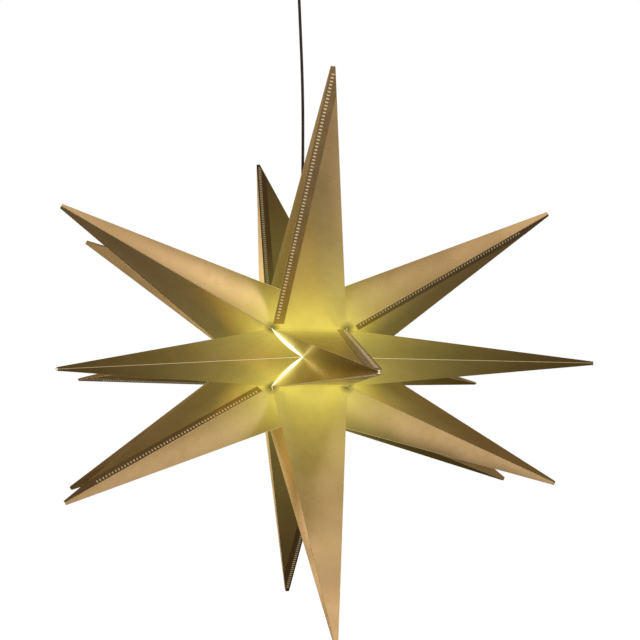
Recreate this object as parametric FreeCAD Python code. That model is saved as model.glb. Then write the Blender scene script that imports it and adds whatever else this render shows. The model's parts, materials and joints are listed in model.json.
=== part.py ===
import FreeCAD
import Part
import math
import os

# A folding star lamp: 18 hollow spikes of thin translucent film round a bulb, hung on a cord from a
# ceiling fitting. Sizes are in millimetres. The ceiling is the plane z = 0 and the front faces -Y.
# The star is a fan of segments about the X axis. Each segment has a left, a middle and a right spike.

Vector = FreeCAD.Vector

# Star
segment_count = 6
middle_reach = 400.0
side_out = 318.0
side_reach = 206.0
valley_radius = 75.5
valley_half_width = 50.5
crease_out = 15.0
crease_radius = 97.0
pole_out = 89.0
sheet = 0.5
tip_width = 6.0
lap_width = 14.0
lap_end_gap = 4.0
lap_inset = 1.0
slit_bow = 4.5
slit_land = 1.0
slit_width = 1.5
corner_gap = 0.6
fold_gap = 0.3
cord_hole_radius = 10.5
cord_hole_reach = 27.0

# How far each tip leans from its regular place, to the right and upwards, as shares of middle_reach
tip_lean_shares = {
    "front": {"left": (0.020, -0.045), "middle": (0.025, -0.057), "right": (0.033, -0.022)},
    "upper_front": {"left": (0.002, 0.015), "middle": (0.012, 0.002), "right": (0.006, 0.043)},
    "upper_back": {"left": (0.050, -0.020), "middle": (-0.094, -0.078), "right": (0.010, -0.020)},
    "back": {"left": (0.015, -0.069), "middle": (0.015, -0.060), "right": (0.019, -0.084)},
    "lower_back": {"left": (0.010, -0.010), "middle": (0.026, -0.026), "right": (0.037, -0.006)},
    "lower_front": {"left": (0.029, 0.0), "middle": (0.017, 0.040), "right": (0.015, 0.030)},
}

# The one middle spike whose upper seam laps onto its side face, so that its valley face is plain
side_lapped_place = "lower_front"

# Hanging
star_drop = 560.0
star_aside = 5.0
cord_diameter = 4.2
swing_limit = 12.0
cord_turn_clearance = 0.4
cord_end_gap = 0.8
# Points that the cord passes on its way down: to the right of the star's axis, and height
cord_route = [
    (-1.8, -104.0),
    (0.6, -164.0),
    (1.6, -224.0),
    (1.4, -284.0),
    (0.7, -344.0),
    (0.2, -404.0),
]
longest_arc_share = 0.45

# Ceiling fitting
canopy_radius = 45.0
canopy_lower_radius = 41.0
canopy_height = 26.0
canopy_wall = 1.2
canopy_edge_round = 6.0
bracket_width = 14.0
bracket_plate = 1.5
bracket_leg = 13.0
bracket_inset = 1.5
ceiling_hole_spacing = 60.0
ceiling_hole_radius = 2.25
side_screw_drop = 8.0
side_screw_radius = 1.7
side_screw_head_radius = 3.2
side_screw_head = 2.2
side_screw_reach = 8.0
gland_radius = 7.0
gland_length = 15.0
gland_thread_radius = 5.0
gland_thread_reach = 8.0
gland_bell = 9.0
gland_nut_flats = 14.0
gland_nut_height = 3.0
block_length = 18.0
block_width = 10.0
block_height = 9.0
block_cord_well = 3.0
block_screw_spacing = 9.0
block_screw_radius = 1.6
block_screw_stand = 0.8
block_screw_reach = 2.5

# Lampholder
disc_radius = 20.0
disc_plate = 1.5
grip_radius = 6.5
grip_length = 22.0
grip_bell = 9.0
grip_screw_radius = 1.6
grip_screw_stand = 2.5
nipple_radius = 5.0
nipple_bore_radius = 3.4
nipple_in_grip = 8.0
nipple_in_cap = 6.0
holder_radius = 14.0
holder_wall = 1.5
cap_height = 16.0
cap_round = 5.0
body_height = 23.0
spigot_height = 5.0
core_height = 6.0
shell_length = 20.0
shell_wall = 0.5
thread_gap = 0.5
contact_strip_width = 4.0
contact_strip_plate = 0.5
wire_radius = 0.7
wire_start = 0.84
wire_spread = 4.0

# Bulb
bulb_thread_radius = 6.9
bulb_thread_length = 19.0
bulb_thread_wall = 0.4
bulb_contact_radius = 2.4
bulb_contact_height = 1.4
bulb_insulator_height = 2.0
bulb_insulator_radius = 2.9
bulb_collar_radius = 13.0
bulb_collar_height = 9.0
globe_radius = 22.5
globe_wall = 1.0
led_board_radius = 10.0
led_board_plate = 1.2
led_circle_radius = 5.0
led_size = 2.4
led_height = 0.8
led_count = 6

# Common
running_gap = 0.3
snug_gap = 0.1
overrun = 2.0

wedge_half = math.pi / segment_count


class Plane:
    """A plane with a unit normal."""

    def __init__(self, point, normal):
        self.point = point
        self.normal = Vector(normal).normalize()

    def moved(self, distance):
        return Plane(self.point + self.normal * distance, self.normal)


def meet(a, b, c):
    """The point that three planes share."""
    total = b.normal.cross(c.normal) * a.normal.dot(a.point)
    total += c.normal.cross(a.normal) * b.normal.dot(b.point)
    total += a.normal.cross(b.normal) * c.normal.dot(c.point)
    return total * (1 / a.normal.dot(b.normal.cross(c.normal)))


def face_plane(apex, first, second, inside):
    """The outer plane of a spike's face, with its normal away from the point inside."""
    normal = (first - apex).cross(second - apex)
    if normal.dot(apex - inside) < 0:
        normal = normal * -1
    return Plane(apex, normal)


def fold_plane(face, other, point):
    """The plane through a fold at which two faces of film share their thickness."""
    return Plane(point, face.normal - other.normal)


def edge_plane(face, first, second):
    """The plane square to a face along the line between two points."""
    return Plane(first, (second - first).cross(face.normal))


def rim_plane(face, first, second, tip):
    """The plane square to a face along its edge between two points, with its normal away from the tip."""
    rim = edge_plane(face, first, second)
    if rim.normal.dot(first - tip) < 0:
        rim = Plane(first, rim.normal * -1)
    return rim


def mean(points):
    total = Vector(0, 0, 0)
    for point in points:
        total = total + point
    return total * (1 / len(points))


def polygon(points):
    return Part.Face(Part.makePolygon(points + points[:1]))


def plate(outer, sides):
    """Flat film under the plane outer, bounded by planes that follow each other round it."""
    inner = outer.moved(-sheet)
    turns = list(zip(sides, sides[1:] + sides[:1]))
    top = [meet(outer, a, b) for a, b in turns]
    bottom = [meet(inner, a, b) for a, b in turns]
    faces = [polygon(top), polygon(bottom)]
    for index in range(len(top)):
        after = (index + 1) % len(top)
        faces.append(polygon([top[index], top[after], bottom[after], bottom[index]]))
    shell = Part.Shell(faces)
    shell.sewShape()
    solid = Part.Solid(shell)
    if solid.Volume < 0:
        solid.reverse()
    return solid


def bowed(film, face, first, second, tip):
    """A plate of film with its edge between two points of a face bowed in towards the tip."""
    middle = mean([first, second])
    half_length = (second - first).Length / 2 - slit_land
    along = Vector(second - first).normalize()
    away = along.cross(face.normal)
    if away.dot(middle - tip) < 0:
        away = away * -1
    radius = (half_length ** 2 + slit_bow ** 2) / (2 * slit_bow)
    centre = middle + away * (radius - slit_bow) - face.normal * (sheet + overrun)
    half_turn = math.acos(1 - (slit_bow + overrun) / radius)
    back = away * radius * math.cos(half_turn)
    spread = along * radius * math.sin(half_turn)
    start = centre - back - spread
    end = centre - back + spread
    bow = Part.Arc(start, centre - away * radius, end).toShape()
    segment = Part.Face(Part.Wire([bow, Part.LineSegment(end, start).toShape()]))
    return film.cut(segment.extrude(face.normal * (sheet + 2 * overrun))).Solids[0]


def fused(pieces):
    shape = pieces[0].fuse(pieces[1:])
    return shape.removeSplitter()


def corner(out, side):
    """The end of a valley fold, at a distance along X, above (1) or below (-1) the middle plane."""
    back = Vector(0, math.sin(wedge_half), side * math.cos(wedge_half)) * (-fold_gap / 2)
    angle = side * wedge_half
    return Vector(out, -valley_radius * math.cos(angle), valley_radius * math.sin(angle)) + back


def apex_beyond(tip, base_middle):
    """The point where the ridges of a blunt spike would meet."""
    blunt = tip_width / (2 * valley_half_width)
    return tip + (tip - base_middle) * (blunt / (1 - blunt))


upper_valley = Plane(Vector(0, 0, 0), Vector(0, math.sin(wedge_half), math.cos(wedge_half)))
lower_valley = Plane(Vector(0, 0, 0), Vector(0, math.sin(wedge_half), -math.cos(wedge_half)))
upper_rim = upper_valley.moved(-fold_gap / 2)
lower_rim = lower_valley.moved(-fold_gap / 2)


def lap(covered, carrier, apex, ridge_point, far_point, end_rim, tip_cut):
    """The strip of the carrier face's film that turns over a ridge and lies on the covered face."""
    ridge = Vector(ridge_point - apex).normalize()
    inward = Vector(covered.normal.cross(ridge)).normalize()
    if inward.dot(far_point - ridge_point) < 0:
        inward = inward * -1
    far_edge = Plane(ridge_point + inward * lap_width, inward)
    far_ridge = edge_plane(covered, apex, far_point)
    if far_ridge.normal.dot(ridge_point - far_point) < 0:
        far_ridge = Plane(far_ridge.point, far_ridge.normal * -1)
    sides = [tip_cut, carrier, end_rim.moved(-lap_end_gap), far_edge, far_ridge.moved(lap_inset)]
    return plate(covered.moved(sheet), sides)


def side_spike(tip):
    """A left spike of the front segment: one blank, folded at three ridges and lapped at the fourth."""
    out = valley_half_width + corner_gap / 2
    pole = Vector(-pole_out, 0, 0)
    high = corner(-out, 1)
    low = corner(-out, -1)
    crease = Vector(-crease_out - slit_width / 2, -crease_radius, 0)
    base_middle = mean([pole, high, low, crease])
    apex = apex_beyond(tip, base_middle)
    inside = mean([base_middle, tip])
    tip_cut = Plane(tip, tip - base_middle)
    outer_high = face_plane(apex, pole, high, inside)
    inner_high = face_plane(apex, high, crease, inside)
    inner_low = face_plane(apex, crease, low, inside)
    outer_low = face_plane(apex, low, pole, inside)
    pole_fold = fold_plane(outer_low, outer_high, pole)
    crease_fold = fold_plane(inner_high, inner_low, crease)
    low_fold = fold_plane(inner_low, outer_low, low)
    upper_slit = edge_plane(inner_high, high, crease)
    lower_slit = edge_plane(inner_low, crease, low)
    seam_butt = inner_high.moved(-sheet)
    upper_inner = plate(inner_high, [tip_cut, outer_high, upper_slit, crease_fold])
    lower_inner = plate(inner_low, [tip_cut, crease_fold, lower_slit, low_fold])
    pieces = [
        plate(outer_high, [tip_cut, pole_fold, upper_rim, seam_butt]),
        bowed(upper_inner, inner_high, high, crease, tip),
        bowed(lower_inner, inner_low, crease, low, tip),
        plate(outer_low, [tip_cut, low_fold, lower_rim, pole_fold]),
        lap(outer_high, inner_high, apex, high, pole, upper_rim, tip_cut),
    ]
    return fused(pieces)


def middle_half(tip, laps_low=True, laps_far=False):
    """The upper left blank of the front middle spike: a valley face, two side faces and its laps."""
    out = valley_half_width - corner_gap / 2
    crease_x = crease_out - slit_width / 2
    high = corner(-out, 1)
    far_high = corner(out, 1)
    low = corner(-out, -1)
    far_low = corner(out, -1)
    crease = Vector(-crease_x, -crease_radius, 0)
    far_crease = Vector(crease_x, -crease_radius, 0)
    base_middle = mean([high, far_high, low, far_low])
    apex = apex_beyond(tip, base_middle)
    inside = mean([base_middle, tip])
    tip_cut = Plane(tip, tip - base_middle)
    valley_face = face_plane(apex, high, far_high, inside)
    side_high = face_plane(apex, high, crease, inside)
    side_low = face_plane(apex, crease, low, inside)
    covered = face_plane(apex, low, far_low, inside)
    far_side = face_plane(apex, far_high, far_crease, inside)
    high_fold = fold_plane(valley_face, side_high, high)
    crease_fold = fold_plane(side_high, side_low, crease)
    upper_slit = edge_plane(side_high, high, crease)
    lower_slit = edge_plane(side_low, crease, low)
    low_stop = covered if laps_low else covered.moved(-sheet)
    far_stop = far_side if laps_far else far_side.moved(-sheet)
    upper_side = plate(side_high, [tip_cut, high_fold, upper_slit, crease_fold])
    lower_side = plate(side_low, [tip_cut, crease_fold, lower_slit, low_stop])
    pieces = [
        plate(valley_face, [tip_cut, high_fold, upper_rim, far_stop]),
        bowed(upper_side, side_high, high, crease, tip),
        bowed(lower_side, side_low, crease, low, tip),
    ]
    if laps_low:
        pieces.append(lap(covered, side_low, apex, low, far_low, lower_rim, tip_cut))
    if laps_far:
        far_rim = rim_plane(far_side, far_high, far_crease, tip).moved(-slit_bow)
        pieces.append(lap(far_side, valley_face, apex, far_high, far_crease, far_rim, tip_cut))
    return fused(pieces)


def segment_lean(place, column, angle):
    """A tip's lean in the frame of its own segment, before that segment is turned up the fan."""
    right, up = tip_lean_shares[place][column]
    rise = up * middle_reach
    return Vector(right * middle_reach, -rise * math.sin(angle), rise * math.cos(angle))


def flipped(vector):
    """The same vector after half a turn about the Y axis."""
    return Vector(-vector.x, vector.y, -vector.z)


def into_fan(shape, angle, half_turn):
    if half_turn:
        shape.rotate(Vector(0, 0, 0), Vector(0, 1, 0), 180)
    shape.rotate(Vector(0, 0, 0), Vector(1, 0, 0), -math.degrees(angle))
    return shape


def film_pieces():
    """Every blank of the star by name, round the star's own centre."""
    pieces = {}
    side_tip = Vector(-side_out, -side_reach, 0)
    middle_tip = Vector(0, -middle_reach, 0)
    for index, place in enumerate(tip_lean_shares):
        angle = 2 * index * wedge_half
        left = segment_lean(place, "left", angle)
        middle = segment_lean(place, "middle", angle)
        right = segment_lean(place, "right", angle)
        pieces[place + "_left_spike"] = into_fan(side_spike(side_tip + left), angle, False)
        pieces[place + "_right_spike"] = into_fan(side_spike(side_tip + flipped(right)), angle, True)
        on_side = place == side_lapped_place
        half_a = middle_half(middle_tip + middle, laps_far=on_side)
        half_b = middle_half(middle_tip + flipped(middle), laps_low=not on_side)
        pieces[place + "_middle_half_a"] = into_fan(half_a, angle, False)
        pieces[place + "_middle_half_b"] = into_fan(half_b, angle, True)
    hole = Part.makeCylinder(cord_hole_radius, cord_hole_reach, Vector(0, 0, valley_radius - overrun))
    for name in ("upper_front_middle_half_a", "upper_back_middle_half_b"):
        pieces[name] = pieces[name].cut(hole)
    return pieces


def ring(outer, inner, low, high):
    """A tube or washer round the Z axis, or a plain cylinder where inner is 0."""
    shape = Part.makeCylinder(outer, high - low, Vector(0, 0, low))
    if inner > 0:
        shape = shape.cut(Part.makeCylinder(inner, high - low + 2 * overrun, Vector(0, 0, low - overrun)))
    return shape


def turned(outline):
    """A solid turned about the Z axis from points given as radius and height."""
    points = [Vector(radius, 0, height) for radius, height in outline]
    return polygon(points).revolve(Vector(0, 0, 0), Vector(0, 0, 1), 360)


def hexagon(flats, low, high):
    """A hexagonal bar with the given width across its flats."""
    radius = flats / math.sqrt(3)
    turns = [k * math.pi / 3 for k in range(6)]
    points = [Vector(radius * math.cos(turn), radius * math.sin(turn), low) for turn in turns]
    return polygon(points).extrude(Vector(0, 0, high - low))


def bell_mouth(radius, pivot, reach):
    """The flare that lets the cord swing round its end at the height pivot; reach is negative below it."""
    narrow = radius + cord_turn_clearance
    swing = math.radians(swing_limit)
    wide = narrow / math.cos(swing) + abs(reach) * math.tan(swing) + snug_gap
    past = reach + math.copysign(overrun, reach)
    grow = narrow + (wide - narrow) * past / reach
    end_gap = math.copysign(cord_end_gap, reach)
    cone = turned([(0, pivot), (narrow, pivot), (grow, pivot + past), (0, pivot + past)])
    socket = ring(narrow, 0, min(pivot, pivot - end_gap), max(pivot, pivot - end_gap))
    return cone.fuse(socket)


def canopy_solid(radius, lower_radius, floor, edge_round, top):
    """A tapered drum under the ceiling with its lower edge rounded."""
    drum = Part.makeCone(lower_radius, radius, top - floor, Vector(0, 0, floor))
    lower_edge = [edge for edge in drum.Edges if abs(edge.BoundBox.ZMax - floor) < snug_gap and edge.Closed]
    return drum.makeFillet(edge_round, lower_edge[:1])


def side_hole(radius, start, end, height):
    """A bar along X, used for screws and for the holes that take them."""
    return Part.makeCylinder(radius, end - start, Vector(start, 0, height), Vector(1, 0, 0))


def half_turned(shape):
    copy = shape.copy()
    copy.rotate(Vector(0, 0, 0), Vector(0, 0, 1), 180)
    return copy


def ceiling_pieces():
    """The fitting under the ceiling: canopy, bracket, screws, gland and terminal block."""
    floor = -canopy_height
    canopy = canopy_solid(canopy_radius, canopy_lower_radius, floor, canopy_edge_round, 0)
    hollow = canopy_solid(canopy_radius - canopy_wall, canopy_lower_radius - canopy_wall, floor + canopy_wall,
                          canopy_edge_round - canopy_wall, 0)
    canopy = canopy.cut(hollow)
    gland_way_top = floor + canopy_wall + overrun
    canopy = canopy.cut(ring(gland_thread_radius + snug_gap, 0, floor - overrun, gland_way_top))
    taper = (canopy_radius - canopy_lower_radius) / canopy_height
    leg_out = canopy_lower_radius - canopy_wall - bracket_inset
    bar = Part.makeBox(2 * leg_out, bracket_width, bracket_plate,
                       Vector(-leg_out, -bracket_width / 2, -bracket_plate))
    leg = Part.makeBox(bracket_plate, bracket_width, bracket_leg,
                       Vector(leg_out - bracket_plate, -bracket_width / 2, -bracket_leg))
    bracket = bar.fuse([leg, half_turned(leg)])
    for side in (-1, 1):
        hole = ring(ceiling_hole_radius, 0, -bracket_plate - overrun, overrun)
        hole.translate(Vector(side * ceiling_hole_spacing / 2, 0, 0))
        bracket = bracket.cut(hole)
    screw_at = -side_screw_drop
    wall_out = canopy_radius - taper * side_screw_drop
    head_seat = wall_out + snug_gap
    screw = side_hole(side_screw_radius, head_seat - side_screw_reach, head_seat, screw_at)
    screw = screw.fuse(side_hole(side_screw_head_radius, head_seat, head_seat + side_screw_head, screw_at))
    screws = Part.makeCompound([screw, half_turned(screw)])
    way_start = leg_out - overrun - bracket_plate
    screw_way = side_hole(side_screw_radius + snug_gap, way_start, wall_out + overrun, screw_at)
    flat_seat = side_hole(side_screw_head_radius + snug_gap, wall_out, wall_out + overrun, screw_at)
    for cutter in (screw_way, half_turned(screw_way)):
        canopy = canopy.cut(cutter)
        bracket = bracket.cut(cutter)
    for cutter in (flat_seat, half_turned(flat_seat)):
        canopy = canopy.cut(cutter)
    gland_floor = floor - gland_length
    pivot = gland_floor + gland_bell
    gland = ring(gland_radius, 0, gland_floor, floor)
    thread_top = floor + canopy_wall + gland_thread_reach
    gland = gland.fuse(ring(gland_thread_radius, 0, floor, thread_top))
    bore_radius = cord_diameter / 2 + snug_gap
    gland = gland.cut(ring(bore_radius, 0, pivot, thread_top + overrun))
    gland = gland.cut(bell_mouth(cord_diameter / 2, pivot, -gland_bell))
    gland = gland.removeSplitter()
    nut_floor = floor + canopy_wall
    nut_top = nut_floor + gland_nut_height
    nut = hexagon(gland_nut_flats, nut_floor, nut_top)
    nut = nut.cut(ring(gland_thread_radius + snug_gap, 0, nut_floor - overrun, nut_top + overrun))
    block_top = -bracket_plate
    block_floor = block_top - block_height
    block = Part.makeBox(block_length, block_width, block_height,
                         Vector(-block_length / 2, -block_width / 2, block_floor))
    cord_well = ring(bore_radius, 0, block_floor - overrun, block_floor + block_cord_well)
    block = block.cut(cord_well)
    tail = ring(cord_diameter / 2, 0, pivot + cord_end_gap, block_floor + block_cord_well)
    heads = []
    for side in (-1, 1):
        front = Vector(side * block_screw_spacing / 2, -block_width / 2 - block_screw_stand,
                       block_floor + block_height / 2)
        mouth = front + Vector(0, block_screw_stand, 0)
        well = Part.makeCylinder(block_screw_radius + snug_gap, block_screw_reach, mouth, Vector(0, 1, 0))
        block = block.cut(well)
        head_length = block_screw_stand + block_screw_reach
        heads.append(Part.makeCylinder(block_screw_radius, head_length, front, Vector(0, 1, 0)))
    return {
        "canopy": canopy,
        "ceiling_bracket": bracket,
        "canopy_screws": screws,
        "cord_gland": gland,
        "gland_nut": nut,
        "terminal_block": block,
        "terminal_screws": Part.makeCompound(heads),
        "cord_tail": tail,
    }, pivot


def valley_floor():
    """The height above the star's centre of the lowest film in the top valley, where the disc carries it."""
    tip_height = middle_reach * math.sin(2 * wedge_half)
    tip_ahead = middle_reach * math.cos(2 * wedge_half)
    slope = math.atan2(tip_height - valley_radius, tip_ahead)
    return valley_radius - sheet / math.cos(slope)


def holder_pieces():
    """The lampholder under the star's top valley, with its cord grip, disc, contacts and wires."""
    disc_top = valley_floor() - running_gap
    disc_floor = disc_top - disc_plate
    disc = ring(disc_radius, nipple_radius + snug_gap, disc_floor, disc_top)
    grip_top = disc_top + grip_length
    pivot = grip_top - grip_bell
    grip = ring(grip_radius, 0, disc_top, grip_top)
    grip = grip.cut(bell_mouth(cord_diameter / 2, pivot, grip_bell))
    stub_radius = cord_diameter / 2
    grip = grip.cut(ring(stub_radius + snug_gap, 0, disc_top - overrun, pivot))
    nipple_way_top = disc_top + nipple_in_grip + snug_gap
    grip = grip.cut(ring(nipple_radius + snug_gap, 0, disc_top - overrun, nipple_way_top))
    screw_at = (pivot - cord_end_gap + disc_top + nipple_in_grip) / 2
    screw_end = grip_radius + grip_screw_stand
    grip_screw = side_hole(grip_screw_radius, stub_radius + snug_gap, screw_end, screw_at)
    grip = grip.cut(side_hole(grip_screw_radius + snug_gap, 0, screw_end, screw_at))
    grip = grip.removeSplitter()
    cap_floor = disc_floor - cap_height
    cap_inner = holder_radius - holder_wall
    cap_top_inner = disc_floor - holder_wall
    cap = rounded_cap(disc_floor, cap_floor)
    cap = cap.cut(ring(nipple_radius + snug_gap, 0, cap_top_inner - overrun, disc_floor + overrun))
    nipple_floor = cap_top_inner - nipple_in_cap
    nipple = ring(nipple_radius, nipple_bore_radius, nipple_floor, disc_top + nipple_in_grip)
    body_floor = cap_floor - body_height
    spigot_radius = cap_inner - snug_gap
    body = ring(holder_radius, cap_inner - holder_wall, body_floor, cap_floor)
    body = body.fuse(ring(spigot_radius, cap_inner - holder_wall, cap_floor, cap_floor + spigot_height))
    core_radius = cap_inner - holder_wall - snug_gap
    core_top = cap_floor + spigot_height
    core_floor = core_top - core_height
    core = ring(core_radius, 0, core_floor, core_top)
    thread_inner = bulb_thread_radius + thread_gap
    thread_shell = ring(thread_inner + shell_wall, thread_inner, core_floor - shell_length, core_floor)
    strip_length = 2 * bulb_thread_radius
    strip_low = core_floor - contact_strip_plate
    strip = Part.makeBox(strip_length, contact_strip_width, contact_strip_plate,
                         Vector(-strip_length / 2, -contact_strip_width / 2, strip_low))
    stub_floor = nipple_floor
    stub = ring(stub_radius, 0, stub_floor, pivot - cord_end_gap)
    wires = []
    for side in (-1, 1):
        start = Vector(side * wire_start, 0, stub_floor)
        end = Vector(side * wire_spread, 0, core_top)
        wires.append(Part.makeCylinder(wire_radius, (end - start).Length, start, end - start).cut(core))
    wires = [wire.cut(stub) for wire in wires]
    return {
        "carrier_disc": disc,
        "cord_grip": grip,
        "grip_screw": grip_screw,
        "nipple": nipple,
        "holder_cap": cap,
        "holder_body": body,
        "holder_core": core,
        "thread_shell": thread_shell,
        "contact_strip": strip,
        "cord_stub": stub,
        "holder_wires": Part.makeCompound(wires),
    }, pivot, strip_low


def rounded_cap(top, floor):
    """The lampholder's cap: a short drum with a rounded top edge and an open floor."""
    drum = ring(holder_radius, 0, floor, top)
    upper_edge = [edge for edge in drum.Edges if abs(edge.BoundBox.ZMin - top) < snug_gap and edge.Closed]
    drum = drum.makeFillet(cap_round, upper_edge[:1])
    hollow = ring(holder_radius - holder_wall, 0, floor, top - holder_wall)
    inner_edge = [edge for edge in hollow.Edges if abs(edge.BoundBox.ZMin - (top - holder_wall)) < snug_gap]
    inner_edge = [edge for edge in inner_edge if edge.Closed]
    hollow = hollow.makeFillet(cap_round - holder_wall, inner_edge[:1])
    return drum.cut(hollow)


def bulb_pieces(strip_low):
    """A small opal globe bulb: screw shell, contact, insulator, collar, globe and the board inside it."""
    contact_top = strip_low - running_gap
    contact_floor = contact_top - bulb_contact_height
    shell_top = contact_floor - bulb_insulator_height
    shell_floor = shell_top - bulb_thread_length
    contact = ring(bulb_contact_radius, 0, contact_floor, contact_top)
    insulator = turned([(0, contact_floor), (bulb_insulator_radius, contact_floor),
                        (bulb_thread_radius - bulb_thread_wall, shell_top), (0, shell_top)])
    shell = ring(bulb_thread_radius, bulb_thread_radius - bulb_thread_wall, shell_floor, shell_top)
    neck_radius = bulb_thread_radius - bulb_thread_wall - snug_gap
    collar_floor = shell_floor - bulb_collar_height
    collar = turned([(0, shell_top - overrun), (neck_radius, shell_top - overrun), (neck_radius, shell_floor),
                     (bulb_thread_radius + running_gap, shell_floor), (bulb_collar_radius, collar_floor),
                     (0, collar_floor)])
    globe_centre = collar_floor - math.sqrt(globe_radius ** 2 - bulb_collar_radius ** 2)
    globe = Part.makeSphere(globe_radius, Vector(0, 0, globe_centre))
    globe = globe.cut(Part.makeSphere(globe_radius - globe_wall, Vector(0, 0, globe_centre)))
    globe = globe.cut(ring(globe_radius, 0, collar_floor, globe_centre + globe_radius + overrun))
    board_top = collar_floor
    board = ring(led_board_radius, 0, board_top - led_board_plate, board_top)
    leds = []
    for index in range(led_count):
        turn = 2 * math.pi * index / led_count
        place = Vector(led_circle_radius * math.cos(turn), led_circle_radius * math.sin(turn),
                       board_top - led_board_plate - led_height)
        led = Part.makeBox(led_size, led_size, led_height, place - Vector(led_size / 2, led_size / 2, 0))
        leds.append(led)
    board = board.fuse(leds)
    return {
        "bulb_contact": contact,
        "bulb_insulator": insulator,
        "bulb_screw_shell": shell,
        "bulb_collar": collar,
        "bulb_globe": globe,
        "led_board": board,
    }


def cord_solid(points, radius):
    """A tube along straight runs and tangent arcs, and the least radius of its turns."""
    edges = []
    least = None
    start = points[0]
    for before, here, after in zip(points, points[1:], points[2:]):
        come = here - before
        leave = after - here
        half_turn = come.getAngle(leave) / 2
        back = longest_arc_share * min(come.Length, leave.Length)
        turn_radius = back / math.tan(half_turn)
        least = turn_radius if least is None else min(least, turn_radius)
        arc_start = here - Vector(come).normalize() * back
        arc_end = here + Vector(leave).normalize() * back
        centre_way = (Vector(leave).normalize() - Vector(come).normalize()).normalize()
        centre = here + centre_way * (turn_radius / math.cos(half_turn))
        arc_middle = centre - centre_way * turn_radius
        edges.append(Part.LineSegment(start, arc_start).toShape())
        edges.append(Part.Arc(arc_start, arc_middle, arc_end).toShape())
        start = arc_end
    edges.append(Part.LineSegment(start, points[-1]).toShape())
    path = Part.Wire(edges)
    profile = Part.Wire(Part.makeCircle(radius, points[0], points[1] - points[0]))
    tube = path.makePipeShell([profile], True, False)
    return tube, path.Length, least


def write(name, shape, offset):
    placed = shape.copy()
    placed.translate(offset)
    if len(placed.Solids) == 1:
        placed = placed.Solids[0]
    if not placed.isValid():
        print(name, "isn't a valid shape")
    placed.exportStep("parts/" + name + ".step")


def main():
    os.makedirs("parts", exist_ok=True)
    star_centre = Vector(star_aside, 0, -star_drop)
    film = film_pieces()
    holder, grip_pivot, strip_low = holder_pieces()
    bulb = bulb_pieces(strip_low)
    fitting, gland_pivot = ceiling_pieces()
    for group in (film, holder, bulb):
        for name, shape in group.items():
            write(name, shape, star_centre)
    for name, shape in fitting.items():
        write(name, shape, Vector(0, 0, 0))
    print("gland pivot", gland_pivot, "grip pivot", grip_pivot - star_drop)
    inner_points = [Vector(star_aside + right, 0, height) for right, height in cord_route]
    route = [Vector(0, 0, gland_pivot)] + inner_points + [Vector(star_aside, 0, grip_pivot - star_drop)]
    cord, length, least = cord_solid(route, cord_diameter / 2)
    section = math.pi * cord_diameter ** 2 / 4
    print("cord length", round(length, 1), "least radius", round(least, 1))
    print("cord volume over section times length", round(cord.Volume / (section * length), 5))
    write("cord", cord, Vector(0, 0, 0))


main()
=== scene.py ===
import json
import math

import bmesh
import bpy
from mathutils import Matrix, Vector


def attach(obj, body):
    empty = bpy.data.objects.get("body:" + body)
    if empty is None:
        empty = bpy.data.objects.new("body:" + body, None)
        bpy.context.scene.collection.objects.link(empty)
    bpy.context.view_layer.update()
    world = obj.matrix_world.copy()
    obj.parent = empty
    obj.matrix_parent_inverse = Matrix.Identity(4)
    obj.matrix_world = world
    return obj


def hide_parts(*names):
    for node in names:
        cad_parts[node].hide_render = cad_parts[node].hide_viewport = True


# The looks of a folding star lamp: brass film lit from inside, on a textile cord. Sizes are in metres.

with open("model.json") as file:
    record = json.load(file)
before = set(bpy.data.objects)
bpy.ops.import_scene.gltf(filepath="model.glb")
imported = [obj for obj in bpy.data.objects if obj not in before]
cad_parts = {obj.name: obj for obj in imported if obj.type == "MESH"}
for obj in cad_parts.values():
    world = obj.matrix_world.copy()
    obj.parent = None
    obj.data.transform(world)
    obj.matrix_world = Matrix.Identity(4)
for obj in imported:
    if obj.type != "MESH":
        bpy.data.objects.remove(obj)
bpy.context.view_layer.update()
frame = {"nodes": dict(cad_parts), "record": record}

MM = 0.001

star_centre = Vector((0.005, 0.0, -0.56))

# Camera, with the picture's width and focal length in pixels
photo_frame_width = 640.0
photo_focal = 952.4
sensor_width = 36.0
camera_place = (-0.2116, -1.3022, -0.5946)
camera_ahead = (0.1827, 0.9809, 0.0671)
camera_nearest = 0.05
camera_furthest = 60.0

# Film: the loose triangles of a blank are merged to flat faces, and its tip is its furthest corners
doubles_apart = 0.002 * MM
flat_angle = math.radians(0.6)
tip_corners = 4

# Film: its folds
sharp_angle = math.radians(40)
fold_round = 0.7 * MM
fold_round_steps = 3
crease_round = 0.55 * MM
crease_round_steps = 2
round_profile = 0.5
fold_least_length = 60 * MM
fold_least_angle = math.radians(8)
# A fold that starts further than this from the fan's axis is a scored crease
crease_reach = 93 * MM

# Film: its laps, cut edges and wide faces
lap_widest = 15 * MM
lap_narrowest = 5 * MM
lap_least_length = 120 * MM
cut_edge_widest = 1 * MM
# The least face, in square metres, that is shaded with a crown, and how far its edges' normals lean
crowned_least_area = 0.003
crown_tilt = 0.13
# The spikes whose faces are seen at a grazing angle from straight in front or behind; their film is a copy
# with a painted paler sheen
head_on_spikes = ("front_middle", "back_middle")

# Welds on the laps
ladder_from_ridge = 4.8 * MM
ladder_clear_of_base = 6 * MM
ladder_clear_of_tip = 9 * MM
rung_pitch = 4.2 * MM
rung_length = 4.2 * MM
rung_width = 1.7 * MM
rung_height = 0.45 * MM
rung_crease = 0.35
rung_smoothing = 2

# The corners where three spikes meet, from the star's centre, and the painted shade at them: where it is
# full, where it is gone and how dark it gets
corner_out = 50.5 * MM
corner_round = 75.5 * MM
corner_rise = math.radians(30)
corner_deep = corner_round * math.cos(corner_rise)
corner_up = corner_round * math.sin(corner_rise)
corner_shade_full_within = 2 * MM
corner_shade_gone_by = 12 * MM
corner_shade_factor = 0.3

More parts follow.
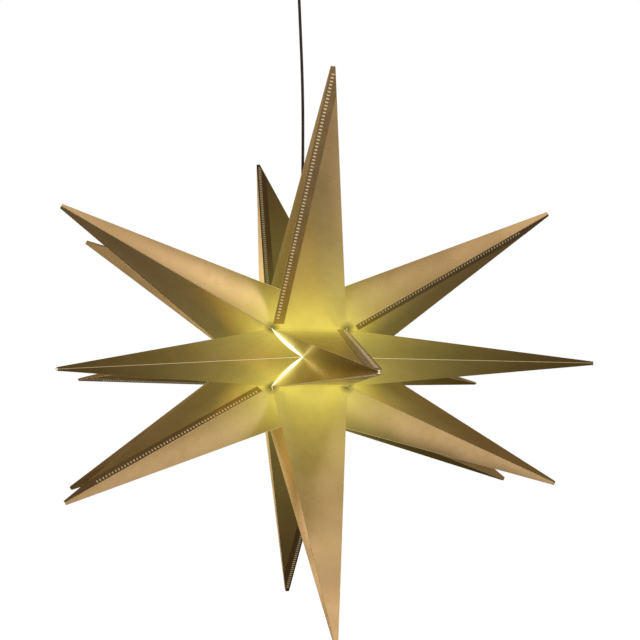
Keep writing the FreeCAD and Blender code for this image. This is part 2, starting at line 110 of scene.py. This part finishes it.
# Cord, with its route to the right and up from the middle of the ceiling face
cord_diameter = 4.2 * MM
cord_round_steps = 6
cord_long_steps = 16
cord_route_mm = [
    (0.0, -32.0),
    (3.2, -104.0),
    (5.6, -164.0),
    (6.6, -224.0),
    (6.4, -284.0),
    (5.7, -344.0),
    (5.2, -404.0),
    (5.0, -472.64),
]

# Floor
floor_drop = 3.0
floor_radius = 9.0
floor_corners = 96
floor_grey = 0.9
floor_brightness = 0.8

# Soft box in front, as seen from the star; its brightness is what a mirror would show of it
soft_box_azimuth = 36
soft_box_elevation = 23
soft_box_distance = 3.0
soft_box_width = 1.0
soft_box_height = 0.8
soft_box_brightness = 1.25

FILM, INSIDE, LAP, CREASE, FOLD = range(5)


class Value:
    """A number that varies over a surface, with plain arithmetic."""

    def __init__(self, recipe, socket):
        self.recipe = recipe
        self.socket = socket

    def worked(self, operation, *inputs):
        node = self.recipe.node("ShaderNodeMath", {"operation": operation}, dict(enumerate(inputs)))
        return Value(self.recipe, node.outputs[0])

    def __add__(self, other):
        return self.worked("ADD", self, other)

    __radd__ = __add__

    def __sub__(self, other):
        return self.worked("SUBTRACT", self, other)

    def __rsub__(self, other):
        return self.worked("SUBTRACT", other, self)

    def __mul__(self, other):
        return self.worked("MULTIPLY", self, other)

    __rmul__ = __mul__

    def __truediv__(self, other):
        return self.worked("DIVIDE", self, other)

    def __pow__(self, other):
        return self.worked("POWER", self, other)

    def exp(self):
        return self.worked("EXPONENT", self)

    def sine(self):
        return self.worked("SINE", self)

    def unsigned(self):
        return self.worked("ABSOLUTE", self)

    def at_most(self, other):
        return self.worked("MINIMUM", self, other)


class Tree:
    """A node tree, built node by node."""

    def __init__(self, tree):
        self.tree = tree

    def node(self, kind, settings=None, sockets=None):
        """A node of the given type, with its settings set and its sockets given values or links."""
        made = self.tree.nodes.new(kind)
        for name, value in (settings or {}).items():
            if name == "stops":
                set_stops(made.color_ramp.elements, value)
            else:
                setattr(made, name, value)
        for name, value in (sockets or {}).items():
            self.feed(made.inputs[name], value)
        return made

    def feed(self, entry, value):
        if isinstance(value, Value):
            value = value.socket
        if isinstance(value, bpy.types.NodeSocket):
            self.tree.links.new(value, entry)
        else:
            entry.default_value = value


def set_stops(elements, stops):
    """The colours of a ramp, each with its place from 0 to 1. A new one starts in the middle."""
    while len(elements) < len(stops):
        elements.new(0.5)
    for element, (place, colour) in zip(elements, stops):
        element.position = place
        element.color = (*colour, 1)


class Recipe(Tree):
    """The node tree of a material or of the world."""

    def __init__(self, owner):
        owner.use_nodes = True
        super().__init__(owner.node_tree)
        self.tree.nodes.clear()

    def value(self, kind, settings, sockets, output=0):
        return Value(self, self.node(kind, settings, sockets).outputs[output])

    def vectors(self, operation, sockets, output=0):
        return self.node("ShaderNodeVectorMath", {"operation": operation}, sockets).outputs[output]

    def coordinates(self, output="Object"):
        return self.node("ShaderNodeTexCoord").outputs[output]

    def parts(self, vector):
        made = self.node("ShaderNodeSeparateXYZ", {}, {0: vector})
        return [Value(self, made.outputs[k]) for k in range(3)]

    def distance(self, vector, point):
        return Value(self, self.vectors("DISTANCE", {0: vector, 1: tuple(point)}, "Value"))

    def along(self, vector, direction):
        return Value(self, self.vectors("DOT_PRODUCT", {0: vector, 1: tuple(direction)}, "Value"))

    def noise(self, size, detail=2.0, stretch=(1, 1, 1)):
        """Smooth noise from 0 to 1 with lumps of the given size in metres."""
        scale = tuple(1 / (size * share) for share in stretch)
        place = self.node("ShaderNodeMapping", {}, {"Vector": self.coordinates(), "Scale": scale})
        sockets = {"Vector": place.outputs[0], "Scale": 1.0, "Detail": detail}
        return self.value("ShaderNodeTexNoise", {}, sockets)

    def between(self, value, low, high, start=0.0, end=1.0):
        """The value's way from low to high, clamped, as a way from start to end."""
        sockets = {"Value": value, "From Min": low, "From Max": high, "To Min": start, "To Max": end}
        return self.value("ShaderNodeMapRange", {"clamp": True}, sockets)

    def rough(self, grain, rough_ends):
        """Roughness from the smoother to the rougher end, as the grain goes from 0 to 1."""
        smooth, rough = rough_ends
        return smooth + (rough - smooth) * grain

    def ramp(self, value, stops):
        return self.node("ShaderNodeValToRGB", {"stops": stops}, {0: value}).outputs[0]

    def mixed(self, factor, first, second):
        """A colour between two colours."""
        made = self.node("ShaderNodeMix", {"data_type": "RGBA"}, {0: factor})
        for entry, colour in ((made.inputs[6], first), (made.inputs[7], second)):
            self.feed(entry, (*colour, 1) if isinstance(colour, tuple) else colour)
        return made.outputs[2]

    def scaled(self, colour, amount):
        """A colour times a number."""
        return self.vectors("SCALE", {0: colour, "Scale": amount})

    def sum(self, first, second):
        """Two colours together."""
        return self.vectors("ADD", {0: first, 1: second})

    def bump(self, height, depth):
        return self.node("ShaderNodeBump", {}, {"Height": height, "Distance": depth}).outputs[0]


def finish_material(name, sockets, make):
    """A material with one Principled shader; make returns more sockets from its recipe."""
    material = bpy.data.materials.new(name)
    recipe = Recipe(material)
    shader = recipe.node("ShaderNodeBsdfPrincipled", {}, {**sockets, **make(recipe)})
    recipe.node("ShaderNodeOutputMaterial", {}, {"Surface": shader.outputs[0]})
    return material


# Colours of the film: what its brass coat reflects, and what the lamp sends through it
brass_tint = (0.52, 0.35, 0.188)
# Painted shade near the star's middle: there the base colour darkens towards this
brass_deep = (0.47, 0.31, 0.158)
brass_painted_core_shade = (0.20, 0.16, 0.06)
glow_near = (0.53, 0.53, 0.05)
glow_far = (0.355, 0.285, 0.065)
glow_inside = (1.0, 0.95, 0.64)
glow_crease = (1.0, 0.88, 0.50)
glow_fold = (0.9, 0.78, 0.40)
lap_brown = (0.30, 0.195, 0.095)
lap_tan = (0.38, 0.25, 0.125)
weld_straw = (0.88, 0.74, 0.50)
weld_pale = (0.97, 0.88, 0.66)

# How each glow falls off: the distance from the lamp where it is one, and the distance beyond that
# over which it falls by e
near_falls = (105 * MM, 35 * MM)
far_falls = (105 * MM, 90 * MM)
# core_shade_falls is the fall-off of the painted shade near the middle, not of a glow
core_shade_falls = (90 * MM, 50 * MM)
inside_falls = (220 * MM, 350 * MM)
lap_falls = (105 * MM, 50 * MM)
crease_falls = (130 * MM, 160 * MM)
fold_falls = (110 * MM, 120 * MM)
glow_most = 1.6
near_strength = 0.20
# How far the painted shade near the middle darkens the base colour
core_shade_strength = 0.75
lap_strength = 0.14
crease_strength = 0.55
fold_strength = 0.16

# The patchy glow of the film: what a clear place lets through, and what cloud and haze add
patchy_least = 0.78
patchy_cloud = 0.30
patchy_haze = 0.14

# The lamp's light on a face by the share of its distance that lies towards the front or back: the
# share's lower and upper end, and the light there
valley_light = (0.30, 0.62, 0.32, 1.0)
head_on_light = (0.80, 0.97, 1.0, 0.62)

# Lumps in the finish of film, laps and welds, and how deep they stand
film_cloud = 35 * MM
film_haze = 9 * MM
film_wave = 110 * MM
film_wave_deep = 2.6 * MM
lap_cloud = 20 * MM
lap_haze = 4 * MM
lap_haze_deep = 0.2 * MM
weld_grain = 1.2 * MM
cloud_ends = (0.3, 0.7)

# Roughness, from the smoothest place to the roughest
film_rough = (0.22, 0.30)
lap_rough = (0.30, 0.42)
weld_rough = (0.28, 0.40)


def lamp_falling(recipe, start, reach):
    """One at the distance start from the lamp, falling by e for every reach beyond it."""
    distance = recipe.distance(recipe.coordinates(), star_centre)
    return ((start - distance) / reach).exp().at_most(glow_most)


def from_lamp(recipe):
    """How far a place is from the lamp to the side, in depth and in height."""
    parts = recipe.parts(recipe.coordinates())
    return [(part - middle).unsigned() for part, middle in zip(parts, star_centre)]


def open_to_lamp(recipe):
    """How much of the lamp's light a place on the film gets: most on the outer faces at the front
    and back, and least in the valleys between the spikes."""
    deep = from_lamp(recipe)[1]
    share = deep / recipe.distance(recipe.coordinates(), star_centre)
    return recipe.between(share, *valley_light) * recipe.between(share, *head_on_light)


def painted_corner_shade(recipe):
    """Painted shade right at the corners where three spikes meet: the base colour and the glow darken
    there.
    """
    across, deep, up = from_lamp(recipe)
    beside = (across - corner_out) ** 2
    corners = ((corner_deep, corner_up), (0.0, corner_round))
    first, second = [beside + (deep - y) ** 2 + (up - z) ** 2 for y, z in corners]
    return recipe.between(first.at_most(second) ** 0.5, corner_shade_full_within, corner_shade_gone_by, corner_shade_factor, 1.0)


def film_sockets(recipe):
    cloud = recipe.noise(film_cloud, detail=3.0)
    haze = recipe.noise(film_haze)
    wave = recipe.noise(film_wave, detail=1.0)
    patchy = patchy_least + patchy_cloud * cloud + patchy_haze * haze
    # The glow and the base colour are darkened by the painted shade at the corners
    lit = open_to_lamp(recipe) * patchy * painted_corner_shade(recipe)
    near = recipe.scaled(glow_near, lit * lamp_falling(recipe, *near_falls) * near_strength)
    far = recipe.scaled(glow_far, lit * lamp_falling(recipe, *far_falls))
    brass = recipe.mixed(recipe.between(cloud, *cloud_ends), brass_deep, brass_tint)
    # Painted shade: the base colour darkens near the star's middle
    core_shade = lamp_falling(recipe, *core_shade_falls).at_most(1.0) * core_shade_strength
    return {
        "Base Color": recipe.scaled(recipe.mixed(core_shade, brass, brass_painted_core_shade), painted_corner_shade(recipe)),
        "Roughness": recipe.rough(haze, film_rough),
        "Emission Color": recipe.sum(near, far),
        "Normal": recipe.bump(wave, film_wave_deep),
    }


def inside_sockets(recipe):
    return {"Emission Color": recipe.scaled(glow_inside, lamp_falling(recipe, *inside_falls))}


def lap_sockets(recipe):
    cloud = recipe.noise(lap_cloud, detail=3.0)
    haze = recipe.noise(lap_haze)
    glow = lamp_falling(recipe, *lap_falls) * lap_strength
    return {
        "Base Color": recipe.mixed(recipe.between(cloud, *cloud_ends), lap_brown, lap_tan),
        "Roughness": recipe.rough(haze, lap_rough),
        "Emission Color": recipe.scaled(glow_near, glow),
        "Normal": recipe.bump(haze, lap_haze_deep),
    }


def crease_sockets(recipe):
    glow = lamp_falling(recipe, *crease_falls) * crease_strength
    return {"Emission Color": recipe.scaled(glow_crease, glow)}


def fold_sockets(recipe):
    glow = lamp_falling(recipe, *fold_falls) * fold_strength
    return {"Emission Color": recipe.scaled(glow_fold, glow)}


def weld_sockets(recipe):
    grain = recipe.noise(weld_grain)
    return {
        "Base Color": recipe.mixed(grain, weld_straw, weld_pale),
        "Roughness": recipe.rough(grain, weld_rough),
    }


film = finish_material(
    "brass_film",
    {"Metallic": 1.0, "Specular Tint": (0.52, 0.44, 0.23, 1), "Emission Strength": 1.0},
    film_sockets,
)
# A copy of the film with a paler specular tint for the spikes seen at a grazing angle: a painted paler
# sheen on those spikes only
film_painted_sheen = finish_material(
    "brass_film_painted_sheen",
    {"Metallic": 1.0, "Specular Tint": (0.62, 0.61, 0.46, 1), "Emission Strength": 1.0},
    film_sockets,
)
film_inside = finish_material(
    "film_inside",
    {"Base Color": (0.22, 0.18, 0.09, 1), "Metallic": 0.2, "Roughness": 0.5, "Emission Strength": 1.0},
    inside_sockets,
)
film_lap = finish_material("lapped_film", {"Metallic": 1.0, "Emission Strength": 1.0}, lap_sockets)
# Painted highlight along the scored creases: a lighter base colour and a glow
film_crease_painted_highlight = finish_material(
    "scored_crease_painted_highlight",
    {"Base Color": (0.85, 0.66, 0.36, 1), "Metallic": 0.8, "Roughness": 0.3, "Emission Strength": 1.0},
    crease_sockets,
)
# Painted highlight along the rounded folds: a lighter base colour and a glow
film_fold_painted_highlight = finish_material(
    "fold_painted_highlight",
    {"Base Color": (0.64, 0.47, 0.26, 1), "Metallic": 0.7, "Roughness": 0.35, "Emission Strength": 1.0},
    fold_sockets,
)
# The welds' emission is a painted highlight on the rungs; their straw and pale colours are their own
weld = finish_material(
    "seam_weld",
    {"Metallic": 0.9, "Emission Color": (0.85, 0.70, 0.42, 1), "Emission Strength": 0.16},
    weld_sockets,
)


# Textile cover of the cord: its strands wind both ways round it
strand_pitch = 2.3 * MM
strand_across = 3.0 * MM
textile_fleck = 1.1 * MM
textile_deep = 0.3 * MM
fleck_light = 1.4
fleck_height = 0.4
strand_ends = (0.2, 1.6)
textile_dark = (0.030, 0.018, 0.017)
textile_light = (0.088, 0.054, 0.048)
textile_rough = (0.75, 0.90)


def textile_sockets(recipe):
    x, y, z = recipe.parts(recipe.coordinates())
    turn = 2 * math.pi / strand_pitch
    across = (x + y) * (2 * math.pi / strand_across)
    strands = (z * turn + across).sine() * (z * turn - across).sine()
    fleck = recipe.noise(textile_fleck)
    light = recipe.between(strands + fleck * fleck_light, *strand_ends)
    return {
        "Base Color": recipe.mixed(light, textile_dark, textile_light),
        "Roughness": recipe.rough(fleck, textile_rough),
        "Normal": recipe.bump(strands + fleck_height * fleck, textile_deep),
    }


# Plastic mouldings, with a fine grain
moulding_grain = 1.6 * MM
moulding_cloud = 20 * MM
moulding_deep = 0.06 * MM
moulding_rough = (0.42, 0.58)


def moulding(name, dark, light):
    def sockets(recipe):
        grain = recipe.noise(moulding_grain, detail=3.0)
        cloud = recipe.noise(moulding_cloud)
        return {
            "Base Color": recipe.mixed(cloud, dark, light),
            "Roughness": recipe.rough(grain, moulding_rough),
            "Normal": recipe.bump(grain, moulding_deep),
        }
    return finish_material(name, {}, sockets)


# Bare and plated metal, with streaks that the stretch draws out
metal_streak = 1.5 * MM
metal_cloud = 12 * MM
metal_deep = 0.04 * MM


def bare_metal(name, dark, light, stretch, rough_ends):
    def sockets(recipe):
        streak = recipe.noise(metal_streak, detail=3.0, stretch=stretch)
        cloud = recipe.noise(metal_cloud)
        return {
            "Base Color": recipe.mixed(cloud, dark, light),
            "Roughness": recipe.rough(streak, rough_ends),
            "Normal": recipe.bump(streak, metal_deep),
        }
    return finish_material(name, {"Metallic": 1.0}, sockets)


# Canopy paint, with orange peel and a little dust
paint_peel = 2.2 * MM
paint_peel_deep = 0.08 * MM
paint_dust = 0.7 * MM
dust_ends = (0.62, 0.75)
dust_cover = 0.35
paint_brown = (0.052, 0.040, 0.036)
dust_grey = (0.16, 0.13, 0.12)
paint_rough = (0.34, 0.44)


def paint_sockets(recipe):
    orange_peel = recipe.noise(paint_peel)
    dust = recipe.between(recipe.noise(paint_dust, detail=1.0), *dust_ends)
    return {
        "Base Color": recipe.mixed(dust * dust_cover, paint_brown, dust_grey),
        "Roughness": recipe.rough(orange_peel, paint_rough),
        "Normal": recipe.bump(orange_peel, paint_peel_deep),
    }


# Opal globe of the bulb
opal_cloud = 10 * MM
opal_cream = (0.93, 0.92, 0.87)
opal_white = (0.97, 0.96, 0.93)
opal_glow_warm = (1.0, 0.90, 0.66)
opal_glow_pale = (1.0, 0.94, 0.76)


def opal_sockets(recipe):
    cloud = recipe.noise(opal_cloud)
    return {
        "Base Color": recipe.mixed(cloud, opal_cream, opal_white),
        "Emission Color": recipe.mixed(cloud, opal_glow_warm, opal_glow_pale),
    }


finishes = {
    "cord_cover": finish_material("textile_cover", {"Sheen Weight": 0.25}, textile_sockets),
    "black_plastic": moulding("black_moulding", (0.020, 0.018, 0.016), (0.034, 0.030, 0.027)),
    "white_plastic": moulding("white_moulding", (0.74, 0.73, 0.69), (0.82, 0.81, 0.78)),
    "opal_plastic": finish_material(
        "opal_globe", {"Roughness": 0.35, "Emission Strength": 1.1}, opal_sockets),
    "canopy_paint": finish_material("canopy_paint", {"Coat Weight": 0.2}, paint_sockets),
    "zinc_steel": bare_metal(
        "zinc_plate", (0.50, 0.50, 0.49), (0.66, 0.66, 0.65), stretch=(6, 6, 1), rough_ends=(0.26, 0.41)),
    "brass": bare_metal(
        "plain_brass", (0.66, 0.46, 0.18), (0.80, 0.60, 0.28), stretch=(1, 1, 6), rough_ends=(0.22, 0.37)),
    "aluminium": bare_metal(
        "rolled_aluminium", (0.68, 0.68, 0.68), (0.80, 0.80, 0.79),
        stretch=(1, 1, 8), rough_ends=(0.24, 0.39)),
}


def dress_plain_nodes():
    """The CAD nodes that keep their shape get the finish of their material slot."""
    slots = {part["node"]: part["material_slot"] for part in frame["record"]["subparts"]}
    for name, node in frame["nodes"].items():
        if slots[name] in finishes:
            node.data.materials.clear()
            node.data.materials.append(finishes[slots[name]])


def is_film(name):
    return "_middle_half_" in name or name.endswith("_spike")


def from_centre(place):
    return (place - star_centre).length


def spike_axis(places):
    """The direction from the star's centre to the tip of the spike that the places are on."""
    furthest = sorted(places, key=from_centre)[-tip_corners:]
    tip = sum(furthest, Vector()) / len(furthest)
    return (tip - star_centre).normalized()


def looks_out(face, axis):
    """Whether a face of film looks away from its spike's own axis."""
    middle = face.calc_center_median()
    on_axis = star_centre + axis * (middle - star_centre).dot(axis)
    return face.normal.dot(middle - on_axis) > 0


def extents(face):
    """The face's length and width, along and across its longest edge."""
    longest = max(face.edges, key=lambda e: e.calc_length())
    along = (longest.verts[1].co - longest.verts[0].co).normalized()
    across = face.normal.cross(along)
    lengths = [v.co.dot(along) for v in face.verts]
    widths = [v.co.dot(across) for v in face.verts]
    return max(lengths) - min(lengths), max(widths) - min(widths)


def is_lap(face, axis):
    if not looks_out(face, axis):
        return False
    length, width = extents(face)
    return length > lap_least_length and lap_narrowest < width < lap_widest


def ladder_line(face):
    """The two ends of the row of welds on a lap, and the way that the lap faces."""
    long_edges = sorted(face.edges, key=lambda e: -e.calc_length())[:2]
    ridge = max(long_edges, key=lambda e: max(f.calc_area() for f in e.link_faces if f != face))
    base, tip = sorted((v.co.copy() for v in ridge.verts), key=from_centre)
    along = (tip - base).normalized()
    inward = face.normal.cross(along)
    if inward.dot(face.calc_center_median() - base) < 0:
        inward = -inward
    reach = [(v.co - base).dot(along) for v in face.verts if (v.co - base).dot(inward) > ladder_from_ridge]
    start = max(min(reach), 0) + ladder_clear_of_base
    end = max(reach) - ladder_clear_of_tip
    middle = base + inward * ladder_from_ridge
    return middle + along * start, middle + along * end, face.normal.copy()


def mark_faces(work, axis):
    """Gives each face of a blank its finish, and returns the lines of its welds."""
    ladders = []
    for face in work.faces:
        if is_lap(face, axis):
            face.material_index = LAP
            ladders.append(ladder_line(face))
        elif extents(face)[1] < cut_edge_widest:
            face.material_index = LAP
        elif looks_out(face, axis):
            face.material_index = FILM
        else:
            face.material_index = INSIDE
    return ladders


def is_outer_fold(edge, axis):
    """Whether an edge is a long fold that stands out, with wide faces on both its sides."""
    if edge.calc_length() < fold_least_length or len(edge.link_faces) != 2:
        return False
    if not edge.is_convex or edge.calc_face_angle() < fold_least_angle:
        return False
    return all(extents(face)[1] >= lap_narrowest and looks_out(face, axis) for face in edge.link_faces)


def is_crease(edge):
    base = min((v.co for v in edge.verts), key=from_centre)
    return math.hypot(base.y - star_centre.y, base.z - star_centre.z) > crease_reach


def round_folds(work, edges, radius, steps, finish):
    made = bmesh.ops.bevel(
        work, geom=edges, offset=radius, segments=steps, profile=round_profile, affect="EDGES")
    for face in made["faces"]:
        face.material_index = finish


def film_mesh(name, node):
    """A copy of one blank with rounded folds, and the lines of its welds."""
    work = bmesh.new()
    work.from_mesh(node.data)
    bmesh.ops.remove_doubles(work, verts=work.verts, dist=doubles_apart)
    bmesh.ops.dissolve_limit(work, angle_limit=flat_angle, verts=work.verts, edges=work.edges)
    work.normal_update()
    axis = spike_axis([v.co for v in work.verts])
    ladders = mark_faces(work, axis)
    outer_folds = [edge for edge in work.edges if is_outer_fold(edge, axis)]
    creases = [edge for edge in outer_folds if is_crease(edge)]
    folds = [edge for edge in outer_folds if not is_crease(edge)]
    round_folds(work, creases, crease_round, crease_round_steps, CREASE)
    folds = [edge for edge in folds if edge.is_valid]
    round_folds(work, folds, fold_round, fold_round_steps, FOLD)
    for face in work.faces:
        face.smooth = True
    mesh = bpy.data.meshes.new(name)
    work.to_mesh(mesh)
    work.free()
    outer = film_painted_sheen if name.startswith(head_on_spikes) else film
    for material in (outer, film_inside, film_lap, film_crease_painted_highlight, film_fold_painted_highlight):
        mesh.materials.append(material)
    mesh.set_sharp_from_angle(angle=sharp_angle)
    return mesh, ladders


def placed(name, data):
    piece = bpy.data.objects.new(name, data)
    bpy.context.scene.collection.objects.link(piece)
    return piece


def applied(piece):
    """The piece's mesh with its modifiers worked in."""
    graph = bpy.context.evaluated_depsgraph_get()
    mesh = bpy.data.meshes.new_from_object(piece.evaluated_get(graph))
    mesh.name = piece.name
    piece.modifiers.clear()
    return mesh


def crown(mesh):
    """Shades the wide faces as if they curved a little from edge to edge, as bent film does."""
    normals = [corner.vector.copy() for corner in mesh.corner_normals]
    for face in mesh.polygons:
        if face.material_index != FILM or face.area < crowned_least_area:
            continue
        places = [mesh.vertices[mesh.loops[i].vertex_index].co for i in face.loop_indices]
        tip = max(places, key=from_centre)
        across = face.normal.cross((tip - face.center).normalized())
        offsets = [(place - tip).dot(across) for place in places]
        widest = max(abs(offset) for offset in offsets)
        for i, offset in zip(face.loop_indices, offsets):
            normals[i] = (face.normal + across * (crown_tilt * offset / widest)).normalized()
    mesh.normals_split_custom_set(normals)


def make_film():
    """The film of every spike. Returns the lines of all the welds."""
    ladders = []
    for name, node in sorted(frame["nodes"].items()):
        if not is_film(name):
            continue
        mesh, rows = film_mesh(name + "_film", node)
        ladders += rows
        piece = placed(name + "_film", mesh)
        smooth = piece.modifiers.new("even_faces", "WEIGHTED_NORMAL")
        smooth.keep_sharp = True
        piece.data = applied(piece)
        if not name.startswith(head_on_spikes):
            crown(piece.data)
        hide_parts(name)
        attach(piece, "star")
    return ladders


class Growth(Tree):
    """A Geometry Nodes tree with named sizes."""

    def __init__(self, name):
        super().__init__(bpy.data.node_groups.new(name, "GeometryNodeTree"))
        self.sizes = {}
        self.tree.interface.new_socket("Geometry", in_out="INPUT", socket_type="NodeSocketGeometry")
        self.tree.interface.new_socket("Geometry", in_out="OUTPUT", socket_type="NodeSocketGeometry")

    def size(self, name, kind="NodeSocketFloat"):
        made = self.tree.interface.new_socket(name, in_out="INPUT", socket_type=kind)
        self.sizes[name] = made.identifier

    def begin(self):
        return self.node("NodeGroupInput").outputs

    def end(self, geometry):
        self.node("NodeGroupOutput", {}, {0: geometry})

    def grow(self, piece, values):
        """The piece's mesh as the tree makes it from these sizes."""
        modifier = piece.modifiers.new(self.tree.name, "NODES")
        modifier.node_group = self.tree
        for name, value in values.items():
            modifier[self.sizes[name]] = value
        return applied(piece)


def weld_ladder():
    """Rounded bars at even steps along every line, laid across it on the film."""
    growth = Growth("weld_ladder")
    for name in ("Pitch", "Length", "Width", "Height", "Crease"):
        growth.size(name)
    growth.size("Finish", "NodeSocketMaterial")
    entry = growth.begin()
    line = growth.node("GeometryNodeMeshToCurve", {}, {0: entry["Geometry"]})
    steps = growth.node(
        "GeometryNodeResampleCurve", {"mode": "LENGTH"},
        {"Curve": line.outputs[0], "Length": entry["Pitch"]})
    size = growth.node(
        "ShaderNodeCombineXYZ", {}, {"X": entry["Width"], "Y": entry["Length"], "Z": entry["Height"]})
    block = growth.node("GeometryNodeMeshCube", {}, {"Size": size.outputs[0]})
    bar = growth.node(
        "GeometryNodeSubdivisionSurface", {},
        {"Mesh": block.outputs[0], "Level": rung_smoothing, "Edge Crease": entry["Crease"]})
    tangent = growth.node("GeometryNodeInputTangent")
    outward = growth.node(
        "GeometryNodeInputNamedAttribute", {"data_type": "FLOAT_VECTOR"}, {"Name": "outward"})
    ahead = growth.node("FunctionNodeAlignRotationToVector", {"axis": "X"}, {"Vector": tangent.outputs[0]})
    flat = growth.node(
        "FunctionNodeAlignRotationToVector", {"axis": "Z", "pivot_axis": "X"},
        {"Rotation": ahead.outputs[0], "Vector": outward.outputs[0]})
    row = growth.node(
        "GeometryNodeInstanceOnPoints", {},
        {"Points": steps.outputs[0], "Instance": bar.outputs[0], "Rotation": flat.outputs[0]})
    real = growth.node("GeometryNodeRealizeInstances", {}, {0: row.outputs[0]})
    finish = growth.node(
        "GeometryNodeSetMaterial", {}, {"Geometry": real.outputs[0], "Material": entry["Finish"]})
    growth.end(finish.outputs[0])
    return growth


def make_welds(ladders):
    """The rungs of weld on all the laps, grown on one mesh that holds only their lines."""
    points = []
    normals = []
    for start, end, normal in ladders:
        points += [start, end]
        normals += [normal, normal]
    mesh = bpy.data.meshes.new("seam_lines")
    mesh.from_pydata(points, [(2 * k, 2 * k + 1) for k in range(len(ladders))], [])
    outward = mesh.attributes.new("outward", "FLOAT_VECTOR", "POINT")
    outward.data.foreach_set("vector", [c for normal in normals for c in normal])
    piece = placed("seam_welds", mesh)
    values = {
        "Pitch": rung_pitch,
        "Length": rung_length,
        "Width": rung_width,
        "Height": rung_height,
        "Crease": rung_crease,
        "Finish": weld,
    }
    piece.data = weld_ladder().grow(piece, values)
    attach(piece, "star")


def make_cord():
    line = bpy.data.curves.new("hanging_cord", "CURVE")
    line.dimensions = "3D"
    line.bevel_depth = cord_diameter / 2
    line.bevel_resolution = cord_round_steps
    line.resolution_u = cord_long_steps
    spline = line.splines.new("NURBS")
    spline.points.add(len(cord_route_mm) - 1)
    for point, (right, height) in zip(spline.points, cord_route_mm):
        point.co = (right * MM, 0, height * MM, 1)
    spline.order_u = 3
    spline.use_endpoint_u = True
    line.materials.append(finishes["cord_cover"])
    piece = placed("hanging_cord", line)
    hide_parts("cord")
    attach(piece, "cord")


# The room's light by the sine of the height above the horizon: pale walls, dark ceiling and floor
room_light = [
    (-1.00, 0.10),
    (-0.57, 0.09),
    (0.00, 0.40),
    (0.70, 0.25),
    (0.90, 0.26),
    (1.00, 0.06),
]
room_tint = (1.0, 0.84, 0.56)
window_tint = (1.0, 0.98, 0.95)
white = (1.0, 1.0, 1.0)
# Bright walls and windows, by azimuth, elevation, half width of the bright middle, half width with its
# soft edge, all in degrees, and brightness
room_patches = [
    (12, 30, 5, 15, 1.45),
    (-5, 30, 3, 12, 1.05),
    (36, 23, 7, 13, 0.62),
    (-30, 19, 3, 9, 2.60),
    (14, -44, 6, 9, 0.24),
    (12, -26, 3, 7, 0.50),
    (116, -50, 6, 20, 0.13),
    (-114, -65, 10, 26, 0.12),
    (-138, -32, 13, 20, 2.60),
    (32, -26, 9, 14, 1.08),
    (-2, -20, 7, 14, 1.20),
    (-99, 25, 6, 14, 2.50),
    (-92, -4, 4, 14, 0.45),
    (91, 5, 10, 40, 0.60),
    (180, 8, 6, 30, 0.42),
    (-140, 2, 10, 34, 0.42),
]


def direction(azimuth, elevation):
    """A direction by degrees: azimuth from the front towards the right, elevation above the horizon."""
    turn = math.radians(azimuth)
    rise = math.radians(elevation)
    return Vector((math.sin(turn) * math.cos(rise), -math.cos(turn) * math.cos(rise), math.sin(rise)))


def make_room():
    """What the film mirrors all round, and white where the camera looks past the star."""
    world = bpy.data.worlds.new("pale_room")
    bpy.context.scene.world = world
    recipe = Recipe(world)
    way = recipe.coordinates("Generated")
    height = recipe.parts(way)[2]
    # The height goes from -1 straight down to 1 straight up, and a ramp's place from 0 to 1
    stops = [((sine + 1) / 2, tuple(light * part for part in room_tint)) for sine, light in room_light]
    walls = recipe.ramp(recipe.between(height, -1, 1), stops)
    windows = 0.0
    for azimuth, elevation, inner, outer, brightness in room_patches:
        near = recipe.along(way, direction(azimuth, elevation))
        edge = (math.cos(math.radians(outer)), math.cos(math.radians(inner)))
        windows = windows + recipe.between(near, *edge) * brightness
    seen = recipe.node("ShaderNodeLightPath").outputs["Is Camera Ray"]
    colour = recipe.mixed(seen, recipe.sum(walls, recipe.scaled(window_tint, windows)), white)
    background = recipe.node("ShaderNodeBackground", {}, {"Color": colour, "Strength": 1.0})
    recipe.node("ShaderNodeOutputWorld", {}, {"Surface": background.outputs[0]})


def floor_finish():
    material = bpy.data.materials.new("pale_floor")
    recipe = Recipe(material)
    seen = recipe.value("ShaderNodeLightPath", {}, {}, "Is Camera Ray")
    matt = recipe.node("ShaderNodeBsdfDiffuse", {}, {"Color": (floor_grey, floor_grey, floor_grey, 1)})
    strength = seen * floor_brightness
    bright = recipe.node("ShaderNodeEmission", {}, {"Color": (*white, 1), "Strength": strength})
    both = recipe.node("ShaderNodeAddShader", {}, {0: matt.outputs[0], 1: bright.outputs[0]})
    recipe.node("ShaderNodeOutputMaterial", {}, {"Surface": both.outputs[0]})
    return material


def make_floor():
    work = bmesh.new()
    bmesh.ops.create_circle(work, cap_ends=True, radius=floor_radius, segments=floor_corners)
    bmesh.ops.translate(work, verts=work.verts, vec=(0, 0, -floor_drop))
    mesh = bpy.data.meshes.new("floor")
    work.to_mesh(mesh)
    work.free()
    mesh.materials.append(floor_finish())
    floor = placed("floor", mesh)
    floor.visible_glossy = False
    floor.visible_diffuse = False


def make_soft_box():
    """A flat lamp that faces the star."""
    lamp = bpy.data.lights.new("front_soft_box", "AREA")
    lamp.shape = "RECTANGLE"
    lamp.size = soft_box_width
    lamp.size_y = soft_box_height
    lamp.energy = soft_box_brightness * math.pi * soft_box_width * soft_box_height
    lamp.color = window_tint
    piece = placed("front_soft_box", lamp)
    toward = direction(soft_box_azimuth, soft_box_elevation)
    piece.location = star_centre + toward * soft_box_distance
    piece.rotation_euler = toward.to_track_quat("Z", "Y").to_euler()


def make_camera():
    lens = bpy.data.cameras.new("camera")
    lens.sensor_width = sensor_width
    lens.lens = photo_focal * sensor_width / photo_frame_width
    lens.clip_start = camera_nearest
    lens.clip_end = camera_furthest
    camera = placed("camera", lens)
    camera.location = camera_place
    camera.rotation_euler = Vector(camera_ahead).to_track_quat("-Z", "Y").to_euler()
    bpy.context.scene.camera = camera


make_camera()
make_cord()
dress_plain_nodes()
make_welds(make_film())
make_room()
make_floor()
make_soft_box()
bpy.context.scene.view_settings.view_transform = "Standard"
